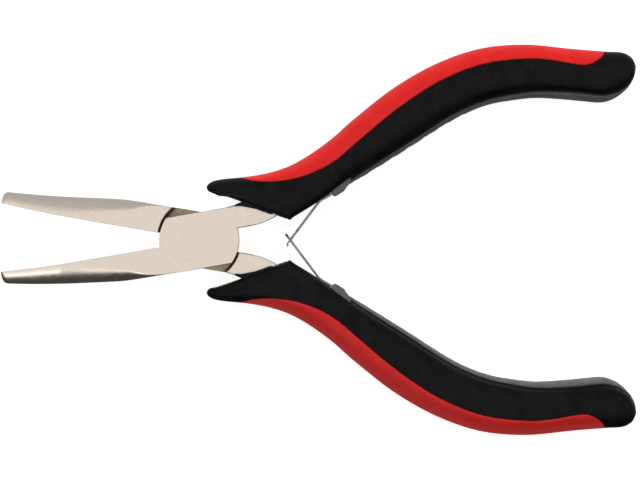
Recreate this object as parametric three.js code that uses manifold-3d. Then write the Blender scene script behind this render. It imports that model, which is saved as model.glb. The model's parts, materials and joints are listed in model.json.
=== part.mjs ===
// Small spring-opened pliers with smooth half-round jaws and two-colour moulded grips.
// Units are millimetres. The pliers lie flat with +Z up, the jaws point along -X.
//
// Each side of the pliers is drawn in its closed position, with the pivot on the Z axis, the
// closing line on the X axis and the face where the two lap plates meet on z = 0. The same side,
// turned over about the X axis, is the other side. Both are then swung open about the pivot.

import * as THREE from "three";
import { mergeVertices } from "three/addons/utils/BufferGeometryUtils.js";
import Module from "manifold-3d";

const wasm = await Module();
wasm.setup();

// ---- driving dimensions -------------------------------------------------------------------

const OPEN_ANGLE = 9.75; // degrees that each side is swung from closed, where the springs rest

// Lap joint
const HEAD_HALF = 3.5; // half of the head's thickness
const LAP_GAP = 0.06; // between the two lap plates
const LAP_RADIUS = 6.95; // rounded ends of a lap plate
const SHOULDER_RADIUS = 7.35; // hollow shoulders of the other side that face those ends
const FLANK_JAW = 4.93; // from the closing line to the flank on the jaw's side
const FLANK_FREE = 4.8; // and to the flank on the other side

// Jaws: each is half of a cone, cut flat above and below at the head's thickness
const JAW_LENGTH = 35.2; // from the pivot to the tips
const JAW_TAPER = 0.131; // loss of radius per millimetre, over the tapered stretch
const JAW_TAPER_START = 14; // from the pivot
const JAW_TIP_RADIUS = 1.95;
const JAW_RELIEF = 0.12; // from the closing line to the gripping face at the head
const JAW_TIP_RELIEF = 0.03; // the tips meet first
const CROOK = 0.5; // sideways bend of both tips
const CROOK_START = 22; // from the pivot

// Pivot rivet, countersunk and ground flush at both ends
const RIVET_SHANK = 1.9;
const RIVET_HEAD = 2.9;
const RIVET_HEAD_DEPTH = 1.0;
const RUNNING_GAP = 0.05;

// Tang: the flat bar of each lever that runs inside its grip
const TANG_HALF = 2.0; // half of its thickness
const TANG_FIT = 0.12; // room around it in the grip
const TANG_INNER = [[5, 0.95], [10.6, 1.0], [13.7, 1.75], [16, 2.65], [22, 5.1], [30, 8.3],
  [38, 11.6], [46, 15.0], [54, 17.1], [61, 17.3]];
const TANG_OUTER = [[5, 4.75], [8.5, 5.2], [13, 6.3], [18, 7.3], [22, 8.6], [30, 12.8],
  [38, 17.2], [46, 20.2], [54, 21.2], [61, 20.4]];

// Grips
const GRIP_OUTER = [[2.75, 8.75], [2.9, 9.15], [3.3, 9.5], [4.2, 9.8], [6, 9.85], [10, 9.57],
  [14, 9.62], [18, 10.27], [22, 11.75], [26, 13.75], [30, 16.24], [38, 20.56], [46, 23.45],
  [54, 24.75], [62, 24.1], [70, 21.96], [76, 20.42], [78.4, 19.85], [79.6, 19.1], [80.25, 18.1],
  [80.45, 17]];
const GRIP_INNER = [[2.75, 8.75], [2.95, 8.25], [3.4, 7.9], [4.3, 7.57], [8.5, 5.25],
  [13.7, 2.05], [16.1, 0.84], [18, 1.4], [22, 2.96], [30, 6.1], [38, 9.33], [46, 12.7],
  [50, 13.97], [54, 14.67], [58, 14.72], [62, 14.46], [66, 13.6], [70, 12.54], [73.5, 11.7],
  [76, 12.07], [78.4, 13.45], [79.7, 14.9], [80.3, 16.2], [80.45, 17]];
const GRIP_HALF = [[2.75, 1.2], [3.3, 2.2], [5, 3.4], [9, 4.5], [14, 5.0], [24, 5.2], [60, 5.0],
  [72, 4.75], [77, 4.2], [79, 3.4], [80.45, 1.6]]; // half of the grip's thickness
const GRIP_STATIONS = [2.85, 3.2, 3.8, 5.2, 7.5, 10.5, 13.7, 15.4, 16.1, 17, 19, 22, 26, 30, 34,
  38, 42, 46, 50, 54, 58, 62, 66, 70, 73.5, 76, 78, 79.3, 80, 80.42];
const GRIP_SECTION_POINTS = 16;
const GRIP_SQUARENESS = 2.6; // power of the superellipse that a grip's section is

// Soft inlay on the outer side of each grip
const INLAY_DEPTH = 1.6;
const INLAY_FIT = 0.08;
const INLAY_EDGE = [[8.8, 9.6], [11, 8.66], [14, 7.96], [18, 7.7], [22, 8.24], [26, 9.62],
  [30, 12], [38, 16.6], [46, 20.08], [54, 21.77], [62, 21.38], [66, 20.4], [70, 18.97],
  [72, 18.6], [74, 19.15], [75.3, 20.2], [75.8, 21.8]];

// Leaf springs, one on each side, hooked through each other
const LEAF_THICKNESS = 0.4;
const LEAF_HALF_WIDTH = 2.5;
const LEAF_ROOT = [22.0, 2.96]; // where the leaf lifts off the grip
const LEAF_SEAT_ANGLE = 20.3; // slope of the grip under the leaf's foot, degrees
const LEAF_LIFT_ANGLE = 23; // of the relaxed leaf off the grip, degrees
const LEAF_LENGTH = 9.6; // from the root to the free end
const LEAF_FOOT = 4.9; // length of the riveted foot
const LEAF_SUNK = 0.25; // centre line of the foot below the grip's edge
const TONGUE_HALF_WIDTH = 1.1; // the upper leaf ends in a tongue
const TONGUE_START = 6.6; // from the root
const TONGUE_ROLL = 0.3; // radius of the rolled end of the tongue
const WINDOW_HALF_WIDTH = 1.5; // that goes through a window in the lower leaf
const WINDOW = [6.4, 9.0]; // from the root
const GROOVE_HALF_WIDTH = 2.8; // shallow groove that the leaf folds into
const GROOVE_DEPTH = 0.52;
const GROOVE_REACH = 6.9; // along the seat from the root, towards the jaws

// Lip: the grip is moulded over the end of the foot and its rivet, and stands proud there
const LIP_START = 2.5; // along the seat, from the root
const LIP = [[2.5, -0.5], [3.1, -0.62], [4.6, -0.5], [8.6, 0.3], [8.6, 1.5], [2.5, 1.5]];
const LIP_HALF_WIDTH = 3.3;
const POCKET_END = 5.2;
const POCKET_TOP = -0.02;

// Rivets of the leaf springs
const PIN_PLACE = 3.6; // from the root, along the seat
const PIN_SHANK = 0.6;
const PIN_HEAD = 0.95;
const PIN_HEAD_HEIGHT = 0.3;
const PIN_LENGTH = 3.6;
const PIN_FIT = 0.06;

const FACETS = 48; // sides of the large circles
const SMALL_FACETS = 20; // sides of the small ones

// ---- materials ----------------------------------------------------------------------------

const material = (color, roughness, metalness) =>
  new THREE.MeshStandardMaterial({ color, roughness, metalness });
const STEEL = material(0xd8ccc0, 0.38, 0.9);
const SPRING_STEEL = material(0x8f8c88, 0.35, 0.95);
const BLACK_PLASTIC = material(0x1b1b1c, 0.45, 0.0);
const RED_SOFT = material(0xc8202a, 0.55, 0.0);

// ---- solids -------------------------------------------------------------------------------

const radians = THREE.MathUtils.degToRad;

function solid(geometry) {
  let bare = geometry.index ? geometry.toNonIndexed() : geometry;
  bare.deleteAttribute("normal");
  bare.deleteAttribute("uv");
  bare = mergeVertices(bare, 1e-5);
  return new wasm.Manifold(new wasm.Mesh({
    numProp: 3,
    vertProperties: bare.attributes.position.array,
    triVerts: new Uint32Array(bare.index.array),
  }));
}

function mesh(name, manifold, look) {
  const { vertProperties, triVerts } = manifold.getMesh();
  const geometry = new THREE.BufferGeometry();
  geometry.setAttribute("position", new THREE.BufferAttribute(vertProperties, 3));
  geometry.setIndex(new THREE.BufferAttribute(triVerts, 1));
  geometry.computeVertexNormals();
  const node = new THREE.Mesh(geometry, look);
  node.name = name;
  return node;
}

// A flat outline [[x, y], ...] raised from z = low to z = high.
function prism(outline, low, high) {
  const shape = new THREE.Shape(outline.map(([x, y]) => new THREE.Vector2(x, y)));
  const geometry = new THREE.ExtrudeGeometry(shape, { depth: high - low, bevelEnabled: false });
  return solid(geometry.translate(0, 0, low));
}

function disc(radius, low, high) {
  const geometry = new THREE.CylinderGeometry(radius, radius, high - low, FACETS);
  geometry.rotateX(Math.PI / 2);
  return solid(geometry.translate(0, 0, (low + high) / 2));
}

// A round piece about the Z axis from a profile [[radius, z], ...] that starts and ends on it.
function turned(profile, sides) {
  const points = profile.map(([r, z]) => new THREE.Vector2(r, z));
  return solid(new THREE.LatheGeometry(points, sides).rotateX(Math.PI / 2));
}

// Closed rings of points joined into one body, with flat ends.
function loft(rings) {
  const size = rings[0].length;
  const positions = rings.flat(2);
  const index = [];
  const last = (rings.length - 1) * size;
  for (let r = 0; r < last; r += size) {
    for (let i = 0; i < size; i++) {
      const j = (i + 1) % size;
      index.push(r + i, r + j, r + size + j, r + i, r + size + j, r + size + i);
    }
  }
  for (let i = 1; i < size - 1; i++) {
    index.push(0, i + 1, i);
    index.push(last, last + i, last + i + 1);
  }
  const geometry = new THREE.BufferGeometry();
  geometry.setAttribute("position", new THREE.Float32BufferAttribute(positions, 3));
  geometry.setIndex(index);
  return solid(geometry);
}

// ---- curves -------------------------------------------------------------------------------

// Height at x of a smooth curve through points [[x, y], ...] in rising x.
function height(points, x) {
  const last = points.length - 1;
  let i = points.findIndex((p) => p[0] > x) - 1;
  if (i < 0) {
    i = x <= points[0][0] ? 0 : last - 1;
  }
  const slope = (k) => {
    const a = points[Math.max(k - 1, 0)];
    const b = points[Math.min(k + 1, last)];
    return (b[1] - a[1]) / (b[0] - a[0]);
  };
  const [x0, y0] = points[i];
  const [x1, y1] = points[i + 1];
  const run = x1 - x0;
  const t = THREE.MathUtils.clamp((x - x0) / run, 0, 1);
  const start = slope(i) * run;
  const end = slope(i + 1) * run;
  return y0 + start * t + (3 * (y1 - y0) - 2 * start - end) * t ** 2
    + (2 * (y0 - y1) + start + end) * t ** 3;
}

// The curve as points, one every step or so.
function trace(points, step) {
  const from = points[0][0];
  const to = points[points.length - 1][0];
  const count = Math.ceil((to - from) / step);
  const traced = [];
  for (let i = 0; i <= count; i++) {
    const x = from + (to - from) * i / count;
    traced.push([x, height(points, x)]);
  }
  return traced;
}

// ---- lever --------------------------------------------------------------------------------

function jawRadius(x) {
  const taper = JAW_TAPER * Math.max(0, -x - JAW_TAPER_START);
  return Math.max(JAW_TIP_RADIUS, FLANK_JAW - taper);
}

function jaw(crook) {
  const stations = [-4, -9, -12, -14, -17, -20, -23, -26, -29, -31, -33, -34.6, -JAW_LENGTH];
  const arcPoints = 16;
  const rings = stations.map((x) => {
    const rounding = x === -JAW_LENGTH ? 0.55 : 0;
    const radius = jawRadius(x) - rounding;
    const bend = crook * CROOK * (Math.max(0, -x - CROOK_START) / (JAW_LENGTH - CROOK_START)) ** 2;
    const relief = THREE.MathUtils.mapLinear(x, 0, -JAW_LENGTH, JAW_RELIEF, JAW_TIP_RELIEF);
    const ring = [];
    for (let i = 0; i <= arcPoints; i++) {
      const angle = Math.PI * i / arcPoints;
      const across = Math.max(Math.sin(angle) * radius, relief);
      const up = THREE.MathUtils.clamp(Math.cos(angle) * radius, -HEAD_HALF, HEAD_HALF);
      ring.push([x, bend - across, up]);
    }
    return ring;
  });
  return loft(rings.reverse());
}

function lever(name, crook) {
  const jawRoot = [[-11.5, -JAW_RELIEF], [-11.5, -FLANK_JAW], [1, -FLANK_JAW], [1, -JAW_RELIEF]];
  const tangRoot = [[-1, 0.95], [10.6, 1.0], [13.1, 1.6], [13.2, 2.1], [8.2, 5.0],
    [6.6, FLANK_FREE], [-1, FLANK_FREE]];
  const strip = [[-8, -FLANK_JAW], [8, -FLANK_JAW], [8, FLANK_FREE], [-8, FLANK_FREE]];
  const tang = [...trace(TANG_INNER, 4), ...trace(TANG_OUTER, 4).reverse()];
  const plate = disc(LAP_RADIUS, LAP_GAP / 2, HEAD_HALF)
    .intersect(prism(strip, LAP_GAP / 2, HEAD_HALF));
  const otherPlate = disc(SHOULDER_RADIUS, -HEAD_HALF - 1, LAP_GAP / 2);
  const body = jaw(crook)
    .add(prism(jawRoot, -HEAD_HALF, HEAD_HALF))
    .add(prism(tangRoot, -HEAD_HALF, HEAD_HALF))
    .add(prism(tang, -TANG_HALF, TANG_HALF))
    .subtract(otherPlate)
    .add(plate)
    .subtract(rivet(RUNNING_GAP))
    .subtract(springPin(PIN_FIT));
  return mesh(name, body, STEEL);
}

// The pivot rivet, or with room around it, the hole that it fills.
function rivet(room) {
  const end = HEAD_HALF + (room > 0 ? 1 : 0);
  const neck = HEAD_HALF - RIVET_HEAD_DEPTH;
  const flare = (end - neck) * (RIVET_HEAD - RIVET_SHANK) / RIVET_HEAD_DEPTH;
  const head = RIVET_SHANK + flare + room;
  const shank = RIVET_SHANK + room;
  return turned([[0, -end], [head, -end], [shank, -neck], [shank, neck], [head, end], [0, end]],
    FACETS);
}

// ---- grip ---------------------------------------------------------------------------------

// The grip's outer shape, with its surface moved in by inset.
function gripBody(inset) {
  const first = GRIP_STATIONS[0];
  const last = GRIP_STATIONS[GRIP_STATIONS.length - 1];
  const rings = GRIP_STATIONS.map((station) => {
    const x = THREE.MathUtils.mapLinear(station, first, last, first + 3 * inset, last - inset);
    const outer = height(GRIP_OUTER, x) - inset;
    const inner = height(GRIP_INNER, x) + inset;
    const half = Math.max(height(GRIP_HALF, x) - inset, 0.3);
    const middle = (outer + inner) / 2;
    const reach = Math.max((outer - inner) / 2, 0.3);
    const ring = [];
    for (let i = 0; i < GRIP_SECTION_POINTS; i++) {
      const angle = 2 * Math.PI * (i + 0.5) / GRIP_SECTION_POINTS;
      const power = 2 / GRIP_SQUARENESS;
      const across = Math.sign(Math.cos(angle)) * Math.abs(Math.cos(angle)) ** power;
      const up = Math.sign(Math.sin(angle)) * Math.abs(Math.sin(angle)) ** power;
      ring.push([x, middle - reach * across, half * up]);
    }
    return ring;
  });
  return loft(rings.reverse());
}

// Everything on the outer side of the inlay's edge, moved by shift towards the inner side.
function inlayReach(shift) {
  const edge = trace(INLAY_EDGE, 2.5).map(([x, y]) => [x, y - shift]);
  const [startX] = edge[0];
  const [endX] = edge[edge.length - 1];
  const outline = [[startX - shift, 30], ...edge, [endX + shift, 30]];
  return prism(outline, -8, 8);
}

function tangHole() {
  const inner = trace(TANG_INNER, 4).map(([x, y]) => [x, y - TANG_FIT]);
  const outer = trace(TANG_OUTER, 4).map(([x, y]) => [x, y + TANG_FIT]);
  const end = 61 + TANG_FIT;
  const outline = [...inner, [end, 17.3 - TANG_FIT], [end, 20.4 + TANG_FIT], ...outer.reverse()];
  return prism(outline, -TANG_HALF - TANG_FIT, TANG_HALF + TANG_FIT);
}

function grip(name) {
  const core = gripBody(INLAY_DEPTH + INLAY_FIT);
  const body = gripBody(0)
    .subtract(inlayReach(INLAY_FIT))
    .add(core)
    .add(onSeat(prism(LIP, -LIP_HALF_WIDTH, LIP_HALF_WIDTH)))
    .subtract(tangHole())
    .subtract(onSeat(groove()))
    .subtract(springPin(PIN_FIT));
  return mesh(name, body, BLACK_PLASTIC);
}

function inlay(name) {
  const shell = gripBody(0)
    .intersect(inlayReach(0))
    .subtract(gripBody(INLAY_DEPTH));
  return mesh(name, shell, RED_SOFT);
}

// ---- leaf spring --------------------------------------------------------------------------

// Moves a solid from the seat's own axes (x back along the grip, y into the grip) into place.
function onSeat(body) {
  const place = new THREE.Matrix4().makeRotationZ(radians(LEAF_SEAT_ANGLE));
  place.setPosition(LEAF_ROOT[0], LEAF_ROOT[1], 0);
  return body.transform(place.elements);
}

// The open groove that the leaf folds into, and the pocket under the lip that holds its foot.
function groove() {
  const outline = [[-GROOVE_REACH, -3], [LIP_START, -3], [LIP_START, POCKET_TOP],
    [POCKET_END, POCKET_TOP], [POCKET_END, GROOVE_DEPTH], [-GROOVE_REACH, GROOVE_DEPTH]];
  return prism(outline, -GROOVE_HALF_WIDTH, GROOVE_HALF_WIDTH);
}

// A strip of the leaf between two distances from its root, as seen along Z.
function leafStrip(from, to, halfWidth, halfThickness) {
  const lift = radians(LEAF_LIFT_ANGLE);
  const at = (distance, side) => [
    -distance * Math.cos(lift) - side * Math.sin(lift),
    LEAF_SUNK - distance * Math.sin(lift) + side * Math.cos(lift),
  ];
  const outline = [at(from, halfThickness), at(to, halfThickness), at(to, -halfThickness),
    at(from, -halfThickness)];
  return prism(outline, -halfWidth, halfWidth);
}

function tongueRoll() {
  const lift = radians(LEAF_LIFT_ANGLE);
  const roll = new THREE.CylinderGeometry(TONGUE_ROLL, TONGUE_ROLL, 2 * TONGUE_HALF_WIDTH, 12);
  roll.rotateX(Math.PI / 2);
  roll.translate(-LEAF_LENGTH * Math.cos(lift), LEAF_SUNK - LEAF_LENGTH * Math.sin(lift), 0);
  return solid(roll);
}

function leafSpring(name, ending) {
  const half = LEAF_THICKNESS / 2;
  const foot = prism([[-0.1, LEAF_SUNK - half], [LEAF_FOOT, LEAF_SUNK - half],
    [LEAF_FOOT, LEAF_SUNK + half], [-0.1, LEAF_SUNK + half]], -LEAF_HALF_WIDTH, LEAF_HALF_WIDTH);
  let strip;
  if (ending === "tongue") {
    strip = leafStrip(-0.05, TONGUE_START, LEAF_HALF_WIDTH, half)
      .add(leafStrip(TONGUE_START - 0.1, LEAF_LENGTH, TONGUE_HALF_WIDTH, half))
      .add(tongueRoll());
  } else {
    strip = leafStrip(-0.05, LEAF_LENGTH, LEAF_HALF_WIDTH, half)
      .subtract(leafStrip(WINDOW[0], WINDOW[1], WINDOW_HALF_WIDTH, 1));
  }
  const body = onSeat(foot.add(strip)).subtract(springPin(PIN_FIT));
  return mesh(name, body, SPRING_STEEL);
}

// The small rivet of a leaf spring, or with room around it, the hole that it fills.
function springPin(room) {
  const foot = LEAF_SUNK - LEAF_THICKNESS / 2 - PIN_FIT;
  const shank = PIN_SHANK + room;
  const cover = foot - PIN_HEAD_HEIGHT - room;
  const profile = room > 0
    ? [[0, cover], [PIN_HEAD + room, cover], [PIN_HEAD + room, foot], [shank, foot],
      [shank, PIN_LENGTH + 0.3], [0, PIN_LENGTH + 0.3]]
    : [[0, foot - PIN_HEAD_HEIGHT], [PIN_HEAD * 0.7, foot - PIN_HEAD_HEIGHT * 0.85],
      [PIN_HEAD, foot - PIN_HEAD_HEIGHT * 0.3], [PIN_HEAD, foot], [shank, foot],
      [shank, PIN_LENGTH], [0, PIN_LENGTH]];
  const pin = turned(profile, SMALL_FACETS);
  const lay = new THREE.Matrix4().makeRotationX(-Math.PI / 2);
  lay.setPosition(PIN_PLACE, 0, 0);
  return onSeat(pin.transform(lay.elements));
}

// ---- assembly -----------------------------------------------------------------------------

function side(name, crook, ending) {
  const pieces = new THREE.Group();
  pieces.add(lever(`${name}_lever`, crook));
  pieces.add(grip(`${name}_grip`));
  pieces.add(inlay(`${name}_grip_inlay`));
  pieces.add(leafSpring(`${name}_leaf_spring`, ending));
  pieces.add(mesh(`${name}_spring_rivet`, springPin(0), SPRING_STEEL));
  return pieces;
}

const upper = side("upper", 1, "tongue");
upper.add(mesh("pivot_rivet", rivet(0), STEEL));
upper.rotation.z = radians(OPEN_ANGLE);

const turnedOver = side("lower", -1, "window");
turnedOver.rotation.x = Math.PI;
const lower = new THREE.Group();
lower.add(turnedOver);
lower.rotation.z = -radians(OPEN_ANGLE);

const pliers = new THREE.Group();
pliers.add(upper, lower);

// Stand the pliers on z = 0 with the centre of their box on the Z axis.
const box = new THREE.Box3().setFromObject(pliers);
const centre = box.getCenter(new THREE.Vector3());
pliers.position.set(-centre.x, -centre.y, -box.min.z);

export default pliers;
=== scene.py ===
"""Small spring-opened pliers with smooth half-round jaws and two-colour moulded grips.

Each side is drawn as in the CAD: in millimetres, closed, with the pivot on the Z axis and the
closing line on the X axis. place() then puts it into the frame, swung open, in metres.
"""
import json
import math

import bpy
import numpy as np
from mathutils import Matrix, Vector


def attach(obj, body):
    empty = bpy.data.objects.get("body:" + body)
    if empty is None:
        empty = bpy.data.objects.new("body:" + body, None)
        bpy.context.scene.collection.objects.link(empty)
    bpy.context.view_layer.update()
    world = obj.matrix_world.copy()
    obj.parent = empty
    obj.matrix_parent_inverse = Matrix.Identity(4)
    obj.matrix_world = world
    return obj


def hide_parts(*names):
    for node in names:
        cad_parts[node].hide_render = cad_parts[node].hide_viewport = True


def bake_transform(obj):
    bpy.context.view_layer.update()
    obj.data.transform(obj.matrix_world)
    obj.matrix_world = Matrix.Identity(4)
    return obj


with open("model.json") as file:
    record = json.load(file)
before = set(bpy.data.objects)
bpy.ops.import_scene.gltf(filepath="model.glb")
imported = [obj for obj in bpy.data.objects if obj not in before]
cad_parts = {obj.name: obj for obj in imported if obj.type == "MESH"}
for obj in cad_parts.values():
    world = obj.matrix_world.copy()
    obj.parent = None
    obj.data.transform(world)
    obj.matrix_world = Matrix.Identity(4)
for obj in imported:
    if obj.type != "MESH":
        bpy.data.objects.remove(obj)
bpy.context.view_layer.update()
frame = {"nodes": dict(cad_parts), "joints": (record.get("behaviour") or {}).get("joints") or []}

# ---- driving dimensions, millimetres and degrees --------------------------------------------
# x counts from the pivot, and is negative towards the jaws' tips. Lists are points of curves
# over x, unless they say otherwise.

MM = 0.001
JOINTS = {joint["name"]: joint for joint in frame["joints"]}
PIVOT = Vector(JOINTS["jaw_pivot"]["pos_m"])
OPEN_ANGLE = 9.75  # that each side is swung from closed, where the springs rest

# Head: a lap joint
HEAD_HALF = 3.5  # half of the head's thickness
LAP_GAP = 0.06  # between the two lap plates
LAP_RADIUS = 6.95  # rounded ends of a lap plate
SHOULDER_RADIUS = 7.35  # hollow shoulders of the other side that face those ends
SHOULDER_FLARE = 0.12  # broken edge of a shoulder
SHOULDER_DEPTH = 0.02  # step from the lap face down to the floor beside a shoulder
FLANK_JAW = 4.93  # from the closing line to the flank on the jaw's side
FLANK_FREE = 4.8  # and to the flank on the other side
EDGE = 0.12  # radius of the ground edges
FACE_MATCH = 0.005  # how near a face's middle lies to the surface it belongs to

# Jaws
JAW_LENGTH = 35.19
JAW_TAPER = 0.131  # loss of radius per millimetre
JAW_TAPER_START = 14.0
JAW_TAPER_EASE = 1.5  # length over which the taper sets in
JAW_TIP_RADIUS = 1.95
JAW_SET_BACK = 0.02  # of the jaw's back inside the flank
JAW_SQUARING = (-13, -6)  # where the round back grows square towards the head
JAW_FLAT = [(-35.2, 0), (-25, 0), (-21.5, 0.35), (-18.65, 1.15), (-13.9, 2.5), (-9.55, 4.1),
            (-7.6, 4.6), (-6, 4.75), (-3, 4.77)]  # width of the flats above and below
JAW_RELIEF = 0.12  # from the closing line to the gripping face at the head
JAW_TIP_RELIEF = 0.03  # the tips meet first
JAW_EDGE = 0.08  # radius of the edges of the gripping face
CROOK = 0.5  # sideways bend of both tips
CROOK_START = 22.0
TIP_ROUND = 1.0  # length of the rounding at the very tip
TIP_NARROWER = 0.8  # that the rounding takes off the width
TIP_LOWER = 0.55  # and off half of the height

# Pivot rivet
RIVET_SHANK = 1.9
RIVET_HEAD = 2.9
RIVET_HEAD_DEPTH = 1.0
RIVET_GAP = 0.004

# Tang: the flat bar of each lever that runs inside its grip
TANG_HALF = 2.0  # half of its thickness
TANG_EDGE = 0.15
TANG_FIT = 0.12  # room around it in the grip
TANG_STEP = 1.5  # between the points of its outline
TANG_INNER = [(5, 0.95), (10.6, 1.0), (13.7, 1.75), (16, 2.65), (22, 5.1), (30, 8.3),
              (38, 11.6), (46, 15.0), (54, 17.1), (61, 17.3)]
TANG_OUTER = [(5, 4.75), (8.5, 5.2), (13, 6.3), (18, 7.3), (22, 8.6), (30, 12.8),
              (38, 17.2), (46, 20.2), (54, 21.2), (61, 20.4)]
TANG_ROOT = [(-1, 0.95), (10.6, 1.0), (12.2, 1.3), (13.7, 1.8), (14.0, 2.5), (12.0, 3.9),
             (9.6, 5.0), (8.2, 4.98), (6.6, 4.78), (-1, 4.78)]  # closed outline, full height
ROOT_FIT = 0.03  # room around the root in the grip

# Grips
GRIP_OUTER = [(2.75, 8.75), (2.9, 9.15), (3.3, 9.5), (4.2, 9.8), (6, 9.85), (10, 9.57),
              (14, 9.62), (18, 10.27), (22, 11.75), (26, 13.75), (30, 16.24), (38, 20.56),
              (46, 23.45), (54, 24.75), (62, 24.1), (70, 21.96), (76, 20.42), (78.4, 19.85),
              (79.6, 19.1), (80.25, 18.1), (80.45, 17)]
GRIP_INNER = [(2.75, 8.75), (2.95, 8.25), (3.4, 7.9), (4.3, 7.57), (8.5, 5.25), (13.7, 2.05),
              (15.4, 1.16), (16.15, 0.58), (16.8, 0.9), (18, 1.4), (22, 2.96), (30, 6.1),
              (38, 9.33), (46, 12.7), (50, 13.97), (54, 14.67), (58, 14.72), (62, 14.46),
              (66, 13.6), (70, 12.54), (73.5, 11.7), (76, 12.07), (78.4, 13.45), (79.7, 14.9),
              (80.3, 16.2), (80.45, 17)]
GRIP_HALF = [(2.75, 0.9), (3.1, 1.7), (3.8, 2.5), (5, 3.4), (9, 4.5), (14, 4.9), (20, 5.01),
             (40, 5.01), (60, 4.95), (72, 4.7), (77, 4.2), (79, 3.4), (80, 2.4),
             (80.45, 1.0)]  # half of the thickness
GRIP_FULLNESS = 0.985  # the section's width as a share of the room between the curves
BOXY_UNTIL = (19, 28)  # where the section turns from boxy to rounded
PAD_POWERS = (3.4, 2.2)  # of the rounded section on its inner side, across and up
PAD_BOXINESS = (4, 2.6)  # added to them where it is boxy
BACK_POWERS = (2.5, 2.2)  # of the section on its outer side
WEDGE = [(7.0, 4.8), (8.4, 4.55), (10.6, 3.7), (13.0, 2.35), (13.9, 2.3), (11.0, 4.6),
         (9.4, 5.6), (8.3, 5.3), (7.3, 5.05)]  # closed outline of the web beside the tang's root
WEDGE_HALF = 4.1
WEDGE_EDGE = 0.15

# Rim: the bead of core plastic along the inner edge of a grip. Its lighter grey also stands in
# for the sheen that this edge catches, as a painted sheen.
RIM_WIDTH = [(2.75, 0.1), (17, 0.12), (21, 0.15), (24, 0.35), (28, 0.7), (34, 0.9), (46, 0.95),
             (52, 0.97), (59, 1.17), (66, 1.5), (71, 1.62), (75, 1.25), (78, 0.5), (80.45, 0.15)]
RIM_SLOPE = 62  # of the line from the rim's foot to its top
RIM_WIDEST = 0.45  # the most that it takes of half the section's width
RIM_TALLEST = 0.62  # and of half the section's thickness
RIM_ROLL = 128  # that the bead turns through, down into the groove beside it
# where the rim's grey, which is partly a painted sheen, begins
RIM_SEEN_FROM = 21
RIM_MATCH = 0.02  # how far outside the rim the middle of one of its faces may lie

# Soft inlay on the outer side of each grip
INLAY_DEPTH = 1.6
INLAY_FIT = 0.06
INLAY_PROUD = 0.1
INLAY_LIP = 0.3  # radius of its edge
INLAY_SPAN = (8.9, 75.7)
INLAY_EDGE = [(8.8, 9.6), (11, 8.66), (14, 7.96), (18, 7.7), (22, 8.24), (26, 9.62), (30, 12),
              (38, 16.6), (46, 20.08), (54, 21.77), (62, 21.38), (66, 20.4), (70, 18.97),
              (72, 18.6), (74, 19.15), (75.3, 20.2), (75.8, 21.8)]

# Leaf springs, one on each side, hooked through each other. Lengths along them count from the
# root, and are negative along the foot.
LEAF_THICKNESS = 0.4
LEAF_HALF_WIDTH = 2.5
LEAF_CORNER = 0.12  # radius of its edges
LEAF_ROOT = (22.0, 2.96)  # where the leaf lifts off the grip
LEAF_SEAT_ANGLE = 20.3  # slope of the grip under the foot
LEAF_LIFT_ANGLE = 23.0  # of the relaxed leaf off the grip
LEAF_LENGTH = 9.6
LEAF_FOOT = 4.9
LEAF_SUNK = 0.25  # centre line of the foot below the grip's edge
LEAF_BEND = 1.6  # length of the bend at the root
TONGUE_HALF_WIDTH = 1.1
TONGUE_START = 6.6
TONGUE_TAPER = 0.35
TONGUE_THINNING = (8.2, 9.2)
TONGUE_TIP_HALF = 0.12  # half of its thickness past that
TONGUE_ROLL = 0.13  # radius of the hook at its end
TONGUE_HOOK_HALF = 0.1
WINDOW = (6.4, 9.45)
WINDOW_HALF_WIDTH = 1.5
WINDOW_END = 0.3  # that the leaf with the window is longer
WINDOW_END_TAPER = 0.8
WINDOW_END_NARROWER = 0.5

# Seat of a leaf in the grip, in the seat's axes: x back along the grip from the root, y into it
GROOVE_HALF_WIDTH = 2.8
GROOVE_DEPTH = 0.52
GROOVE_REACH = 6.9
GROOVE_TOP = -3.0  # where its cutter starts, well outside the grip
LIP = [(2.5, -0.16), (2.6, -0.32), (2.85, -0.43), (3.3, -0.46), (4.66, -0.38), (4.95, -0.2),
       (5.6, 0.1), (6.8, 0.4), (6.8, 1.5), (2.5, 1.5)]  # closed outline
LIP_START, LIP_END = 2.5, 6.8
LIP_HALF_WIDTH = 3.1
LIP_EDGE = 0.25
LIP_CORE_DEPTH = 0.8  # that the lip's core plastic reaches into the grip
LIP_MATCH = 0.2  # how far outside the lip the middle of one of its faces may lie
POCKET_END = 5.2  # of the slot under the lip, which holds the leaf's foot
POCKET_TOP = -0.02
PIN_PLACE = 3.6
PIN_ROOM = 1.0
PIN_HOLE = (-0.33, 0.2)  # from its top to its bottom

# Studio
FLOOR_GLOW = 0.86
FLOOR_DROP = 0.2  # of the floor below the grips
CAMERA_HEIGHT = 900
VIEW_WIDTH = 112.1  # at the pivot's height
CAMERA_BACK = 21.1  # from the pivot to the middle of the view
CAMERA_ROLL = -0.05

# ---- curves ---------------------------------------------------------------------------------


def height(points, x):
    """Height at x of a smooth curve through points in rising x."""
    px, py = np.array(points, float).T
    x = np.clip(x, px[0], px[-1])
    before = np.maximum(np.arange(len(px)) - 1, 0)
    after = np.minimum(np.arange(len(px)) + 1, len(px) - 1)
    slope = (py[after] - py[before]) / (px[after] - px[before])
    i = np.clip(np.searchsorted(px, x, side="right") - 1, 0, len(px) - 2)
    run = px[i + 1] - px[i]
    t = (x - px[i]) / run
    rise = py[i + 1] - py[i]
    start, end = slope[i] * run, slope[i + 1] * run
    bend, twist = 3 * rise - 2 * start - end, start + end - 2 * rise
    return py[i] + start * t + bend * t**2 + twist * t**3


def smoothstep(x, low, high):
    """0 up to low, 1 from high on, and a smooth step between them."""
    t = np.clip((x - low) / (high - low), 0, 1)
    return t * t * (3 - 2 * t)


def trace(points, step):
    """The curve as points, one every step or so."""
    x = np.linspace(points[0][0], points[-1][0], math.ceil((points[-1][0] - points[0][0]) / step))
    return np.column_stack([x, height(points, x)])


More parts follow.
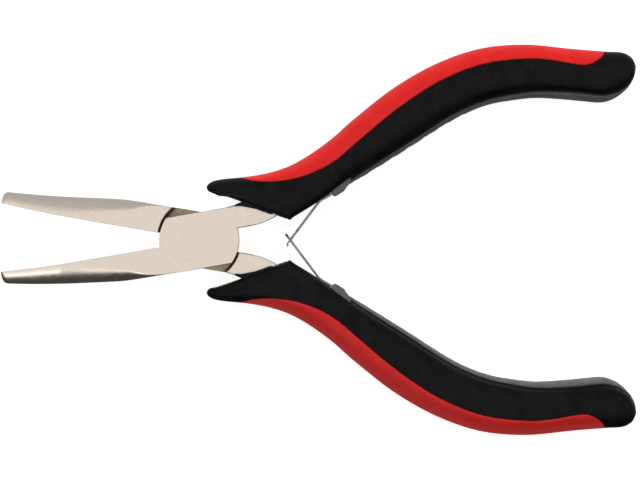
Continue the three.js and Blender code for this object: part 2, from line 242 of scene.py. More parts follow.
def spans(*marks):
    """Numbers from mark to mark: spans(0, 0.5, 4) runs from 0 to 4 in steps of about 0.5."""
    runs = []
    for low, step, high in zip(marks[0:-2:2], marks[1:-1:2], marks[2::2]):
        runs.append(np.linspace(low, high, max(2, round((high - low) / step)), endpoint=False))
    return np.concatenate(runs + [[marks[-1]]])


def quarter(angle, powers):
    """Across and up along a quarter of a superellipse, from its top at 0 to its side."""
    across_power, up_power = powers
    return np.sin(angle) ** (2 / across_power), np.cos(angle) ** (2 / up_power)


# ---- meshes ---------------------------------------------------------------------------------


def shape(name, vertices, faces):
    """A closed mesh object with its faces turned outwards."""
    mesh = bpy.data.meshes.new(name)
    mesh.from_pydata(vertices.tolist(), [], faces)
    corners = np.array([triangle.vertices for triangle in mesh.loop_triangles])
    a, b, c = vertices[corners].transpose(1, 0, 2)
    if np.einsum("ij,ij->", a, np.cross(b, c)) < 0:
        mesh.flip_normals()
    body = bpy.data.objects.new(name, mesh)
    bpy.context.scene.collection.objects.link(body)
    return body


def loft(name, rings):
    """Closed rings of points joined into one body with flat ends."""
    rings = np.asarray(rings, float)
    count, size = rings.shape[:2]
    grid = np.arange(count * size).reshape(count, size)
    here, there = grid[:-1], grid[1:]
    quads = np.stack([here, np.roll(here, -1, 1), np.roll(there, -1, 1), there], -1)
    ends = [grid[0][::-1].tolist(), grid[-1].tolist()]
    return shape(name, rings.reshape(-1, 3), quads.reshape(-1, 4).tolist() + ends)


def slice_at(x, section):
    """A section's points, placed at x."""
    return np.column_stack([np.full(len(section), x), section])


def inset(outline, distance):
    """A closed anticlockwise outline moved in by distance."""
    outline = np.asarray(outline, float)
    ahead = np.roll(outline, -1, 0) - outline
    ahead /= np.linalg.norm(ahead, axis=1)[:, None]
    behind = np.roll(ahead, 1, 0)
    normal = np.column_stack([-ahead[:, 1] - behind[:, 1], ahead[:, 0] + behind[:, 0]])
    normal /= np.linalg.norm(normal, axis=1)[:, None]
    lean = np.maximum(np.abs(normal[:, 1] * ahead[:, 0] - normal[:, 0] * ahead[:, 1]), 0.4)
    return outline + normal * (distance / lean)[:, None]


def rounded_prism(name, outline, low, high, radius, steps=4):
    """An anticlockwise outline raised from low to high, with rounded edges."""
    turns = np.linspace(0, math.pi / 2, steps + 1) if radius else [0.0]
    levels = [(radius * (1 - math.sin(turn)), low + radius * (1 - math.cos(turn)))
              for turn in turns]
    levels += [(step, high + low - z) for step, z in reversed(levels)]
    rings = []
    for step, z in levels:
        flat = inset(outline, step) if step else np.asarray(outline, float)
        rings.append(np.column_stack([flat, np.full(len(flat), z)]))
    return loft(name, rings)


def turned(name, profile, sides):
    """A round piece about the Z axis, from a profile of radius and z."""
    angle = np.linspace(0, 2 * math.pi, sides, endpoint=False)
    rings = [np.column_stack([r * np.cos(angle), r * np.sin(angle), np.full(sides, z)])
             for r, z in profile]
    return loft(name, rings)


def combine(body, other, operation):
    """Adds other to body or takes it away. other is used up."""
    modifier = body.modifiers.new("combine", "BOOLEAN")
    modifier.operation = operation
    modifier.solver = "MANIFOLD"
    modifier.object = other
    graph = bpy.context.evaluated_depsgraph_get()
    joined = bpy.data.meshes.new_from_object(body.evaluated_get(graph))
    joined.name = body.name
    joined.materials.clear()
    body.modifiers.clear()
    body.data = joined
    bpy.data.objects.remove(other)


def add(body, other):
    combine(body, other, "UNION")


def cut(body, other):
    combine(body, other, "DIFFERENCE")


def smooth(body, angle):
    """Smooth shading with sharp edges where the surface turns by more than angle."""
    body.data.shade_smooth()
    body.data.set_sharp_from_angle(angle=math.radians(angle))
    normals = body.modifiers.new("normals", "WEIGHTED_NORMAL")
    normals.keep_sharp = True


def into_frame(side):
    """Takes the closed drawing of a side into the frame: scaled, turned over and swung open."""
    upper = side == "upper"
    turn_over = Matrix.Identity(4) if upper else Matrix.Rotation(math.pi, 4, "X")
    swing = Matrix.Rotation(math.radians(OPEN_ANGLE if upper else -OPEN_ANGLE), 4, "Z")
    return Matrix.Translation(PIVOT) @ swing @ turn_over @ Matrix.Scale(MM, 4)


def place(body, side):
    body.data.transform(into_frame(side))


def on_seat(body):
    """Moves a body from the axes of the leaf's seat to the drawing."""
    turn = Matrix.Rotation(math.radians(LEAF_SEAT_ANGLE), 4, "Z")
    body.data.transform(Matrix.Translation((*LEAF_ROOT, 0)) @ turn)


# ---- materials ------------------------------------------------------------------------------


class Surface:
    """A Principled material whose colour, roughness and bump vary over the object."""

    def __init__(self, name, roughness, metallic=0.0, specular=0.5):
        self.material = bpy.data.materials.new(name)
        self.material.use_nodes = True
        self.nodes = self.material.node_tree.nodes
        self.links = self.material.node_tree.links
        self.shader = self.nodes["Principled BSDF"]
        self.shader.inputs["Roughness"].default_value = roughness
        self.shader.inputs["Metallic"].default_value = metallic
        self.shader.inputs["Specular IOR Level"].default_value = specular
        self.place = self.nodes.new("ShaderNodeTexCoord").outputs["Object"]
        self.bump = None

    def noise(self, size, detail=3.0, stretch=(1, 1, 1)):
        """Noise whose blotches are size millimetres wide, drawn out along an axis by stretch."""
        mapping = self.nodes.new("ShaderNodeMapping")
        mapping.inputs["Scale"].default_value = [1 / (size * MM * s) for s in stretch]
        noise = self.nodes.new("ShaderNodeTexNoise")
        noise.inputs["Scale"].default_value = 1.0
        noise.inputs["Detail"].default_value = detail
        self.links.new(self.place, mapping.inputs["Vector"])
        self.links.new(mapping.outputs["Vector"], noise.inputs["Vector"])
        return noise.outputs["Fac"]

    def ramp(self, factor, *stops):
        """Colours at positions along a factor."""
        ramp = self.nodes.new("ShaderNodeValToRGB")
        elements = ramp.color_ramp.elements
        while len(elements) < len(stops):
            elements.new(0.5)
        for element, (position, colour) in zip(elements, stops):
            element.position = position
            element.color = (*colour, 1)
        self.links.new(factor, ramp.inputs["Fac"])
        return ramp.outputs["Color"]

    def combined(self, kind, first, second):
        """Two colours put together by a blend mode, at full strength."""
        mix = self.nodes.new("ShaderNodeMix")
        mix.data_type = "RGBA"
        mix.blend_type = kind
        mix.inputs["Factor"].default_value = 1.0
        self.links.new(first, mix.inputs["A"])
        self.links.new(second, mix.inputs["B"])
        return mix.outputs["Result"]

    def colour(self, source):
        self.links.new(source, self.shader.inputs["Base Color"])

    def roughness(self, factor, low, high):
        """Roughness between low and high along a noise, most of which lies from 0.3 to 0.7."""
        span = self.nodes.new("ShaderNodeMapRange")
        span.inputs["From Min"].default_value = 0.3
        span.inputs["From Max"].default_value = 0.7
        span.inputs["To Min"].default_value = low
        span.inputs["To Max"].default_value = high
        self.links.new(factor, span.inputs["Value"])
        self.links.new(span.outputs["Result"], self.shader.inputs["Roughness"])

    def relief(self, factor, depth):
        """Bump of depth millimetres, on top of any relief before it."""
        bump = self.nodes.new("ShaderNodeBump")
        bump.inputs["Strength"].default_value = 1.0
        bump.inputs["Distance"].default_value = depth * MM
        self.links.new(factor, bump.inputs["Height"])
        if self.bump:
            self.links.new(self.bump, bump.inputs["Normal"])
        self.bump = bump.outputs["Normal"]
        self.links.new(self.bump, self.shader.inputs["Normal"])


def ground_steel(name, light, dark, roughness):
    """Satin steel: fine mottling, grinding marks across the tool, and a sandy grain."""
    steel = Surface(name, roughness, metallic=1.0)
    mottle = steel.noise(0.3, 4.0)
    steel.colour(steel.ramp(mottle, (0.3, dark), (0.66, light)))
    marks = steel.noise(0.16, 2.0, (1, 14, 14))
    steel.roughness(steel.noise(0.8, 4.0), roughness - 0.05, roughness + 0.07)
    steel.relief(marks, 0.003)
    steel.relief(steel.noise(0.18, 3.0), 0.003)
    return steel.material


def spring_steel():
    """Darker rolled steel, with marks along the strip."""
    steel = Surface("spring_steel", 0.3, metallic=1.0)
    tone = steel.ramp(steel.noise(0.6, 4.0),
                      (0.3, (0.20, 0.195, 0.19)), (0.7, (0.34, 0.33, 0.32)))
    steel.colour(tone)
    steel.roughness(steel.noise(0.5, 3.0), 0.24, 0.4)
    steel.relief(steel.noise(0.12, 2.0, (1, 1, 16)), 0.002)
    return steel.material


def black_grip():
    """Moulded charcoal plastic with a fine grain and a few pale specks of dust."""
    black = Surface("black_grip", 0.45, specular=0.12)
    mottle, dust = black.noise(2.6, 4.0), black.noise(0.34, 1.0)
    tone = black.ramp(mottle, (0.35, (0.001, 0.001, 0.0011)), (0.7, (0.0045, 0.0044, 0.0044)))
    specks = black.ramp(dust, (0.72, (0, 0, 0)), (0.80, (0.032, 0.032, 0.031)))
    black.colour(black.combined("ADD", tone, specks))
    black.roughness(black.noise(1.4, 4.0), 0.42, 0.56)
    black.relief(black.noise(0.2, 3.0), 0.012)
    black.relief(black.noise(3.0, 2.0), 0.03)
    return black.material


def grip_core_and_sheen():
    """Harder grey-black plastic that shows along the inner edge of a grip. Its lighter grey also
    stands in for the sheen of that edge, as a painted sheen.
    """
    core = Surface("grip_core_and_sheen", 0.4, specular=0.4)
    mottle = core.noise(1.6, 4.0)
    core.colour(core.ramp(mottle, (0.35, (0.095, 0.098, 0.102)), (0.7, (0.135, 0.138, 0.143))))
    core.roughness(core.noise(0.9, 3.0), 0.32, 0.5)
    core.relief(core.noise(0.35, 3.0), 0.01)
    return core.material


def red_inlay():
    """Soft red rubber, slightly blotched, with a fine matt grain."""
    red = Surface("red_inlay", 0.5, specular=0.22)
    tone = red.ramp(red.noise(3.2, 4.0),
                    (0.35, (0.75, 0.007, 0.006)), (0.68, (0.83, 0.012, 0.010)))
    grain = red.ramp(red.noise(0.25, 2.0), (0.35, (0.93, 0.93, 0.93)), (0.65, (1, 1, 1)))
    red.colour(red.combined("MULTIPLY", tone, grain))
    red.roughness(red.noise(1.5, 3.0), 0.44, 0.58)
    red.relief(red.noise(0.18, 3.0), 0.008)
    red.relief(red.noise(4.0, 2.0), 0.04)
    return red.material


def floor_surface():
    """Pale paper that glows, so that it stays white under soft light."""
    paper = Surface("pale_floor", 0.9, specular=0.1)
    cloud = paper.noise(30, 3.0)
    paper.colour(paper.ramp(cloud, (0.3, (0.50, 0.50, 0.50)), (0.7, (0.53, 0.53, 0.53))))
    paper.shader.inputs["Emission Color"].default_value = (1, 1, 1, 1)
    paper.shader.inputs["Emission Strength"].default_value = FLOOR_GLOW
    return paper.material


STEEL = ground_steel("ground_steel", (0.86, 0.76, 0.672), (0.765, 0.672, 0.593), 0.34)
# Darker, browner and near-black copies of the steel: painted shade in the recess and in the gap
# of the lap joint.
RECESS_PAINTED_SHADE = ground_steel("steel_recess_painted_shade", (0.5, 0.41, 0.31), (0.29, 0.235, 0.175), 0.5)
GAP_PAINTED_SHADE = ground_steel("steel_gap_painted_shade", (0.12, 0.10, 0.08), (0.06, 0.05, 0.04), 0.55)
SPRING = spring_steel()
BLACK = black_grip()
CORE_AND_SHEEN = grip_core_and_sheen()
RED = red_inlay()

# ---- levers ---------------------------------------------------------------------------------


def jaw_radius(x):
    """Radius of the jaw's back at x, without the rounding of the tip."""
    beyond = -x - JAW_TAPER_START
    taper = JAW_TAPER * (beyond + math.hypot(beyond, JAW_TAPER_EASE)) / 2
    return max(JAW_TIP_RADIUS, FLANK_JAW - JAW_SET_BACK - taper)


def jaw(name, crook):
    """Half of a cone that grows square towards the head and is ground flat above and below."""
    rings = []
    for x in spans(-JAW_LENGTH, 0.08, -JAW_LENGTH + TIP_ROUND, 0.5, -27, 0.35, -6, 1.0, -3):
        into_tip = max(0.0, (-x - JAW_LENGTH + TIP_ROUND) / TIP_ROUND)
        blunt = 1 - math.sqrt(max(0.0, 1 - into_tip**2))
        width = jaw_radius(x) - TIP_NARROWER * blunt
        flat = min(height(JAW_FLAT, x), width - EDGE)
        rise = min(jaw_radius(x), HEAD_HALF) - TIP_LOWER * blunt
        power = 2 + 4 * smoothstep(x, *JAW_SQUARING)  # 2 is round and 6 nearly square
        relief = JAW_RELIEF + (JAW_TIP_RELIEF - JAW_RELIEF) * -x / JAW_LENGTH
        edge = relief + JAW_EDGE
        bend = crook * CROOK * (max(0.0, -x - CROOK_START) / (JAW_LENGTH - CROOK_START)) ** 2
        first = math.asin(max(0.0, (edge - flat) / (width - flat)) ** (power / 2))
        angle = np.linspace(first, math.pi - first, 61)
        across = flat + (width - flat) * np.sin(angle) ** (2 / power)
        up = rise * np.abs(np.cos(angle)) ** (2 / power) * np.sign(np.cos(angle))
        back = np.column_stack([across, up])
        turn = np.linspace(0, math.pi / 2, 5)[:-1]
        corner = np.column_stack([edge - JAW_EDGE * np.cos(turn),
                                  up[0] - JAW_EDGE * (1 - np.sin(turn))])
        section = np.vstack([corner, back, corner[::-1] * (1, -1)])
        rings.append(slice_at(x, section * (-1, 1) + (bend, 0)))
    return loft(name, rings)


def plate_outline():
    """The lap plate: a disc cut off along both flanks, anticlockwise."""
    low, high = -math.asin(FLANK_JAW / LAP_RADIUS), math.asin(FLANK_FREE / LAP_RADIUS)
    right = np.linspace(low, high, 40)
    left = np.linspace(math.pi - high, math.pi - low, 40)
    angle = np.concatenate([right, left])
    return LAP_RADIUS * np.column_stack([np.cos(angle), np.sin(angle)])


def rivet(name, room):
    """The pivot rivet, or with room around it, the hole that it fills."""
    end = HEAD_HALF + (1 if room else 0)
    neck = HEAD_HALF - RIVET_HEAD_DEPTH
    flare = (end - neck) * (RIVET_HEAD - RIVET_SHANK) / RIVET_HEAD_DEPTH
    head, shank = RIVET_SHANK + flare + room, RIVET_SHANK + room
    return turned(name, [(head, -end), (shank, -neck), (shank, neck), (head, end)], 96)


def lever(side, crook):
    """One forging: jaw, lap plate and tang. Its recess and the gap in the lap get darker copies
    of the steel, as painted shade.
    """
    tang = np.vstack([trace(TANG_INNER, TANG_STEP), trace(TANG_OUTER, TANG_STEP)[::-1]])
    flare = SHOULDER_RADIUS + SHOULDER_FLARE
    gap_floor = LAP_GAP / 2 + SHOULDER_DEPTH
    shoulder = [(flare + 1, -HEAD_HALF - 1), (flare, -HEAD_HALF),
                (SHOULDER_RADIUS, -HEAD_HALF + SHOULDER_FLARE), (SHOULDER_RADIUS, gap_floor)]
    body = jaw(f"{side}_lever_ground", crook)
    add(body, rounded_prism("tang_root", TANG_ROOT, -HEAD_HALF, HEAD_HALF, EDGE))
    add(body, rounded_prism("tang", tang, -TANG_HALF, TANG_HALF, TANG_EDGE))
    cut(body, turned("shoulder", shoulder, 160))
    add(body, rounded_prism("plate", plate_outline(), LAP_GAP / 2, HEAD_HALF, EDGE))
    cut(body, rivet("rivet_hole", RIVET_GAP))
    for material in (STEEL, RECESS_PAINTED_SHADE, GAP_PAINTED_SHADE):
        body.data.materials.append(material)
    # Painted shade: the shoulder's wall and the gap's floor get the near-black steel, and the lap
    # face gets the darker, browner steel.
    for face in body.data.polygons:
        radius, z = face.center.xy.length, face.center.z
        on_wall = abs(radius - SHOULDER_RADIUS) < FACE_MATCH and z < 0
        if on_wall or abs(z - gap_floor) < FACE_MATCH:
            face.material_index = 2
        elif abs(z - LAP_GAP / 2) < FACE_MATCH and radius < LAP_RADIUS:
            face.material_index = 1
    smooth(body, 32)
    place(body, side)
    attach(body, f"{side}_side")
    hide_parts(f"{side}_lever")


# ---- grips ----------------------------------------------------------------------------------


def bumps(x, side):
    """Ragged flash left by the mould along the inner edge, outwards in millimetres."""
    ragged = 0.5 + 0.28 * math.sin(1.9 * x) + 0.22 * math.sin(4.3 * x + 1.2)
    if side == "upper":
        along = smoothstep(x, 26, 30) * (1 - smoothstep(x, 48, 54))
        horn = math.exp(-((x - 4.6) / 0.9) ** 2)
        return 0.16 * along * ragged + 0.35 * horn
    return 0.05 * smoothstep(x, 26, 30) * ragged


def grip_curve(x, side, count=64):
    """Half of the grip's section at x, from its inner edge over the top to its outer edge."""
    outer, inner = height(GRIP_OUTER, x), height(GRIP_INNER, x)
    half = height(GRIP_HALF, x)
    middle = (outer + inner) / 2
    reach = GRIP_FULLNESS * (outer - inner) / 2
    inner = middle - reach
    rim = min(height(RIM_WIDTH, x), RIM_WIDEST * reach)
    rim_top = min(rim * math.tan(math.radians(RIM_SLOPE)), RIM_TALLEST * half)
    turn = np.linspace(0, math.radians(RIM_ROLL), 10)
    bead = rim / (1 - math.cos(math.radians(RIM_ROLL)))
    strip = np.column_stack([inner + bead * (1 - np.cos(turn)), rim_top * np.sin(turn)])
    strip[0, 0] -= bumps(x, side)
    boxy = 1 - smoothstep(x, *BOXY_UNTIL)
    powers = [power + more * boxy for power, more in zip(PAD_POWERS, PAD_BOXINESS)]
    across, up = quarter(np.linspace(math.pi / 2, 0, count // 2 + 1), powers)
    pad = np.column_stack([middle - (reach - rim) * across, rim_top + (half - rim_top) * up])
    across, up = quarter(np.linspace(0, math.pi / 2, count // 2 + 1)[1:], BACK_POWERS)
    back = np.column_stack([middle + reach * across, half * up])
    back[-1, 1] = 0.0
    return np.vstack([strip, pad, back])


def grip_blank(name, side):
    """The grip's outer form, before anything is cut out of it or added."""
    rings = []
    for x in spans(2.75, 0.07, 3.3, 0.2, 5, 0.45, 14, 0.3, 15.95, 0.25, 19, 0.6, 76, 0.3, 79.5,
                   0.12, 80.45):
        top = grip_curve(x, side)
        rings.append(slice_at(x, np.vstack([top, top[-2:0:-1] * (1, -1)])))
    return loft(name, rings)


class Skin:
    """The grip's skin at x, measured both ways along it from the outer edge."""

    def __init__(self, x, side):
        top = grip_curve(x, side, 400)
        self.outline = np.vstack([top, top[-2::-1] * (1, -1)])
        steps = np.linalg.norm(np.diff(self.outline, axis=0), axis=1)
        self.length = np.concatenate([[0], np.cumsum(steps)])
        self.mirror = self.length[-1] / 2
        ahead = np.gradient(self.outline, axis=0)
        ahead /= np.linalg.norm(ahead, axis=1)[:, None]
        self.inward = np.column_stack([ahead[:, 1], -ahead[:, 0]])
        across = self.outline[:, 0]
        edge = np.argmax((across > height(INLAY_EDGE, x)) & (across > top[:, 0].mean()))
        self.reach = self.mirror - self.length[edge]
        self.half = height(GRIP_HALF, x)

    def at(self, distance, values):
        along = self.mirror - distance
        return np.column_stack([np.interp(along, self.length, column) for column in values.T])

    def level(self, distance):
        """Height at a distance from the outer edge, as a share of the greatest."""
        return np.abs(self.at(distance, self.outline)[:, 1]) / self.half

    def lifted(self, distance, lift):
        """Points at distances from the outer edge, lifted off the skin."""
        return self.at(distance, self.outline) - self.at(distance, self.inward) * lift[:, None]


def inlay_section(skin, fit):
    """The inlay's section: a strip of skin with rounded edges. fit makes its pocket instead."""
    reach = skin.reach
    lip = min(INLAY_LIP, 0.5 * reach)
    depth = min(INLAY_DEPTH, 0.2 + 0.6 * reach)
    turn = lip * (1 - np.cos(np.linspace(0, math.pi / 2, 5)))
    run = np.linspace(lip, reach, 12)[1:]
    rise = reach - np.concatenate([turn, run])
    distance = np.concatenate([rise, -rise[-2::-1]])
    sunk = lip - np.sqrt(lip**2 - np.maximum(0, lip - (reach - np.abs(distance))) ** 2)
    lift = INLAY_PROUD * min(1.0, reach / 2) * skin.level(distance) - sunk
    if fit:  # the cutter for the pocket stands proud of the skin
        distance = distance * (reach + fit) / reach
        lift = np.full(len(distance), 1.0)
        depth += fit
    outer = skin.lifted(distance, lift)
    under = skin.lifted(distance[::-1], np.full(len(distance), -depth))
    return np.vstack([outer, under])


def inlay_shell(name, side, fit):
    """The red shell: the outer skin of the grip beyond the inlay's edge."""
    line = np.linspace(*INLAY_SPAN, 900)
    inside = line[height(INLAY_EDGE, line) < height(GRIP_OUTER, line) - 0.05]
    rings = [slice_at(x, inlay_section(Skin(x, side), fit))
             for x in spans(inside[0], 0.12, 11, 0.5, 71, 0.25, 74.4, 0.06, inside[-1])]
    return loft(name, rings)


def seat_prism(name, outline, half_width, radius=0.0):
    """A prism across the grip, from an outline in the axes of the leaf's seat."""
    body = rounded_prism(name, outline, -half_width, half_width, radius)
    on_seat(body)
    return body


def shows_core_and_sheen(x, y, z):
    """Which points of a grip lie on its rim or on its lip. These get the grey core plastic, which
    is partly a painted sheen.
    """
    rim = height(RIM_WIDTH, x)
    rim_top = rim * math.tan(math.radians(RIM_SLOPE))
    strip = (y < height(GRIP_INNER, x) + rim + RIM_MATCH) & (np.abs(z) < rim_top + RIM_MATCH)
    tilt = math.radians(LEAF_SEAT_ANGLE)
    along = (x - LEAF_ROOT[0]) * math.cos(tilt) + (y - LEAF_ROOT[1]) * math.sin(tilt)
    into = (y - LEAF_ROOT[1]) * math.cos(tilt) - (x - LEAF_ROOT[0]) * math.sin(tilt)
    lip = (along > LIP_START - LIP_MATCH) & (along < LIP_END + LIP_MATCH)
    lip &= (into < LIP_CORE_DEPTH) & (np.abs(z) < LIP_HALF_WIDTH + LIP_MATCH)
    return (strip & (x > RIM_SEEN_FROM)) | lip


def grip(side):
    """One moulded grip, with room for the tang, the inlay, the leaf and the leaf's rivet."""
    groove = [(-GROOVE_REACH, GROOVE_TOP), (LIP_START, GROOVE_TOP), (LIP_START, POCKET_TOP),
              (POCKET_END, POCKET_TOP), (POCKET_END, GROOVE_DEPTH), (-GROOVE_REACH, GROOVE_DEPTH)]
    pin_top, pin_end = PIN_HOLE
    pin_hole = [(PIN_PLACE - PIN_ROOM, pin_top), (PIN_PLACE + PIN_ROOM, pin_top),
                (PIN_PLACE + PIN_ROOM, pin_end), (PIN_PLACE - PIN_ROOM, pin_end)]
    end_wall = [(x + TANG_FIT, y) for x, y in (TANG_INNER[-1], TANG_OUTER[-1])]
    tang_hole = np.vstack([trace(TANG_INNER, TANG_STEP) - (0, TANG_FIT), end_wall,
                           (trace(TANG_OUTER, TANG_STEP) + (0, TANG_FIT))[::-1]])
    root_hole = inset(TANG_ROOT, -ROOT_FIT)
    tang_room, root_room = TANG_HALF + TANG_FIT, HEAD_HALF + ROOT_FIT
    body = grip_blank(f"{side}_grip_moulded", side)
    cut(body, inlay_shell("inlay_pocket", side, INLAY_FIT))
    add(body, seat_prism("lip", LIP, LIP_HALF_WIDTH, LIP_EDGE))
    add(body, rounded_prism("wedge", WEDGE, -WEDGE_HALF, WEDGE_HALF, WEDGE_EDGE))
    cut(body, rounded_prism("tang_hole", tang_hole, -tang_room, tang_room, 0.0))
    cut(body, rounded_prism("root_hole", root_hole, -root_room, root_room, 0.0))
    cut(body, seat_prism("groove", groove, GROOVE_HALF_WIDTH))
    cut(body, seat_prism("pin_hole", pin_hole, PIN_ROOM))
    body.data.materials.append(BLACK)
    body.data.materials.append(CORE_AND_SHEEN)
    # Rim and lip faces get the grey core plastic, which is partly a painted sheen.
    centres = np.array([face.center for face in body.data.polygons])
    for face, core_and_sheen in zip(body.data.polygons, shows_core_and_sheen(*centres.T)):
        face.material_index = int(core_and_sheen)
    smooth(body, 30)
    place(body, side)
    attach(body, f"{side}_side")
    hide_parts(f"{side}_grip")


def inlay(side):
    """The soft red part of one grip."""
    body = inlay_shell(f"{side}_inlay_soft", side, 0.0)
    body.data.materials.append(RED)
    smooth(body, 40)
    place(body, side)
    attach(body, f"{side}_side")
    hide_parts(f"{side}_grip_inlay")


# ---- leaf springs ---------------------------------------------------------------------------


def leaf_line(s):
    """Place and direction of the leaf's centre line, s millimetres from its root."""
    lift = math.radians(LEAF_LIFT_ANGLE)
    fine = np.linspace(-LEAF_FOOT, LEAF_LENGTH + 1, 1200)
    angle = lift * smoothstep(fine, -LEAF_BEND / 2, LEAF_BEND / 2)
    step = fine[1] - fine[0]
    x = LEAF_FOOT - np.cumsum(np.cos(angle)) * step
    y = LEAF_SUNK - np.cumsum(np.sin(angle)) * step
    turned_by = lift * smoothstep(s, -LEAF_BEND / 2, LEAF_BEND / 2)
    return np.interp(s, fine, x), np.interp(s, fine, y), turned_by


def leaf_ring(x, y, angle, half_width, half_thick):
    """The strip's section at a point and direction of its centre line."""
    corner = min(LEAF_CORNER, half_thick * 0.6)
    turn = np.radians([0, 30, 60, 90])
    edge = np.column_stack([half_width - corner + corner * np.cos(turn),
                            half_thick - corner + corner * np.sin(turn)])
    section = np.vstack([edge, edge[::-1] * (-1, 1), -edge, edge[::-1] * (1, -1)])
    across, out = section.T
    return np.column_stack([x - out * math.sin(angle), y + out * math.cos(angle), across])


def tongue_hook(x, y, angle):
    """The rolled end that keeps the tongue in the window."""
    centre_x = x + TONGUE_ROLL * math.sin(angle)
    centre_y = y - TONGUE_ROLL * math.cos(angle)
    rings = []
    for bend in np.linspace(angle, angle - 1.6 * math.pi, 20)[1:]:
        hook_x = centre_x - TONGUE_ROLL * math.sin(bend)
        hook_y = centre_y + TONGUE_ROLL * math.cos(bend)
        rings.append(leaf_ring(hook_x, hook_y, bend, TONGUE_HALF_WIDTH, TONGUE_HOOK_HALF))
    return rings


def cut_window(body):
    """Cuts the window through the lifted strip, at right angles to it."""
    low, high = WINDOW
    outline = [(low, -WINDOW_HALF_WIDTH), (high, -WINDOW_HALF_WIDTH),
               (high, WINDOW_HALF_WIDTH), (low, WINDOW_HALF_WIDTH)]
    window = rounded_prism("window", outline, -1, 1, 0.0)
    stand = Matrix(((-1, 0, 0, 0), (0, 0, 1, LEAF_SUNK), (0, 1, 0, 0), (0, 0, 0, 1)))
    lift = Matrix.Rotation(math.radians(LEAF_LIFT_ANGLE), 4, "Z")
    window.data.transform(lift @ stand)
    cut(body, window)


def leaf(side, ending):
    """A thin strip, riveted at its foot. One leaf's tongue runs through the other's window."""
    tongue = ending == "tongue"
    end = LEAF_LENGTH if tongue else LEAF_LENGTH + WINDOW_END
    full = LEAF_THICKNESS / 2
    rings = []
    for s in spans(-LEAF_FOOT, 0.4, -LEAF_BEND, 0.12, LEAF_BEND, 0.3, 6.2, 0.06, 6.9, 0.2, end):
        half_width, half_thick = LEAF_HALF_WIDTH, full
        if tongue:
            narrow = smoothstep(s, TONGUE_START - TONGUE_TAPER, TONGUE_START)
            half_width += (TONGUE_HALF_WIDTH - LEAF_HALF_WIDTH) * narrow
            half_thick -= (full - TONGUE_TIP_HALF) * smoothstep(s, *TONGUE_THINNING)
        else:
            half_width -= WINDOW_END_NARROWER * smoothstep(s, end - WINDOW_END_TAPER, end)
        rings.append(leaf_ring(*leaf_line(s), half_width, half_thick))
    if tongue:
        rings += tongue_hook(*leaf_line(end))
    body = loft(f"{side}_leaf_strip", rings)
    if not tongue:
        cut_window(body)
    on_seat(body)
    body.data.materials.append(SPRING)
    smooth(body, 35)
    place(body, side)
    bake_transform(body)
    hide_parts(f"{side}_leaf_spring")


# ---- the pliers -----------------------------------------------------------------------------

for side_name, tip_bend, leaf_end in (("upper", 1, "tongue"), ("lower", -1, "window")):
    lever(side_name, tip_bend)
    grip(side_name)
    inlay(side_name)
    leaf(side_name, leaf_end)
    pin = frame["nodes"][f"{side_name}_spring_rivet"]
    pin.material_slots[0].material = SPRING

pivot = rivet("pivot_rivet_ground", 0.0)
pivot.data.materials.append(STEEL)
smooth(pivot, 32)
place(pivot, "upper")
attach(pivot, "upper_side")
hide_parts("pivot_rivet")

# ---- floor, light and camera ----------------------------------------------------------------


def floor():
    """A plain floor just under the grips. The steel reflects the tent, not the floor."""
    size = 4.0
    corners = [(-size, -size, 0), (size, -size, 0), (size, size, 0), (-size, size, 0)]
    mesh = bpy.data.meshes.new("floor")
    mesh.from_pydata(corners, [], [(0, 1, 2, 3)])
    plane = bpy.data.objects.new("floor", mesh)
    bpy.context.scene.collection.objects.link(plane)
    mesh.materials.append(floor_surface())
    plane.location.z = -FLOOR_DROP * MM
    plane.visible_glossy = False


def panel(name, place_at, size, power, glossy, diffuse):
    """A soft rectangular light, in metres and watts, that faces the pliers' long axis."""
    light = bpy.data.lights.new(name, "AREA")
    light.shape = "RECTANGLE"
    light.size, light.size_y = size
    light.energy = power
    lamp = bpy.data.objects.new(name, light)
    lamp.location = place_at
    to_axis = Vector((0, -place_at[1], -place_at[2]))
    lamp.rotation_euler = to_axis.to_track_quat("-Z", "Y").to_euler()
    lamp.visible_camera = False
    lamp.visible_glossy = glossy
    lamp.visible_diffuse = diffuse
    bpy.context.scene.collection.objects.link(lamp)


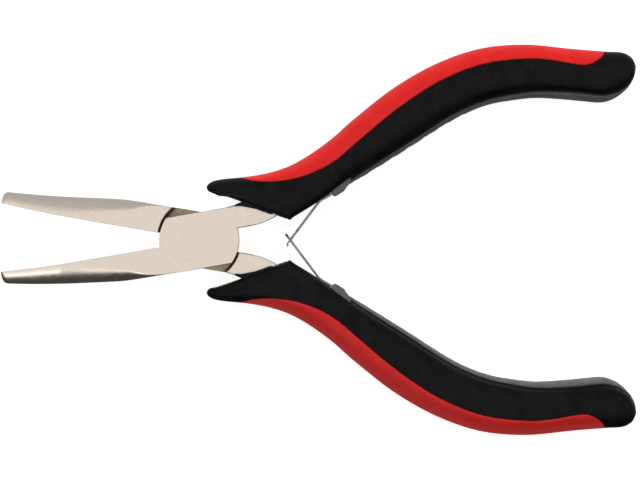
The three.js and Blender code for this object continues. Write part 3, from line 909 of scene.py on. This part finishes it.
def studio():
    """A tent of light: bright overhead, grey on the far side and dark on the near side."""
    world = bpy.data.worlds.new("studio")
    world.use_nodes = True
    nodes, links = world.node_tree.nodes, world.node_tree.links
    direction = nodes.new("ShaderNodeTexCoord")
    axes = nodes.new("ShaderNodeSeparateXYZ")
    angle = nodes.new("ShaderNodeMath")
    angle.operation = "ARCTAN2"
    turn = nodes.new("ShaderNodeMapRange")
    turn.inputs["From Min"].default_value = -math.pi
    turn.inputs["From Max"].default_value = math.pi
    ramp = nodes.new("ShaderNodeValToRGB")
    elements = ramp.color_ramp.elements
    tent = [(-180, 0.6), (-166, 0.05), (-67, 0.03), (-36, 0.88), (30, 0.92), (52, 0.56),
            (166, 0.5), (180, 0.6)]  # degrees from overhead towards the far side, and brightness
    while len(elements) < len(tent):
        elements.new(0.5)
    for element, (degrees, level) in zip(elements, tent):
        element.position = degrees / 360 + 0.5
        element.color = (level, level * 0.99, level * 0.975, 1)
    links.new(direction.outputs["Generated"], axes.inputs["Vector"])
    links.new(axes.outputs["Y"], angle.inputs[0])
    links.new(axes.outputs["Z"], angle.inputs[1])
    links.new(angle.outputs["Value"], turn.inputs["Value"])
    links.new(turn.outputs["Result"], ramp.inputs["Fac"])
    links.new(ramp.outputs["Color"], nodes["Background"].inputs["Color"])
    world.cycles_visibility.diffuse = False
    bpy.context.scene.world = world


def camera():
    """Straight above the pliers, with a long lens."""
    data = bpy.data.cameras.new("camera")
    data.lens = data.sensor_width * CAMERA_HEIGHT / VIEW_WIDTH
    data.clip_start, data.clip_end = 0.05, 10
    eye = bpy.data.objects.new("camera", data)
    eye.location = PIVOT + Vector((CAMERA_BACK, 0.0, CAMERA_HEIGHT)) * MM
    eye.rotation_euler = (0, 0, math.radians(CAMERA_ROLL))
    bpy.context.scene.collection.objects.link(eye)
    bpy.context.scene.camera = eye


floor()
studio()
panel("near_strip", (-0.57, -0.72, 0.66), (0.75, 0.34), 1.9, glossy=True, diffuse=False)
panel("far_key", (0, 0.95, 0.68), (1.6, 0.8), 10.0, glossy=False, diffuse=True)
panel("top_fill", (0, 0, 1.0), (1.8, 1.4), 6.8, glossy=False, diffuse=True)
camera()
bpy.context.scene.view_settings.view_transform = "Standard"
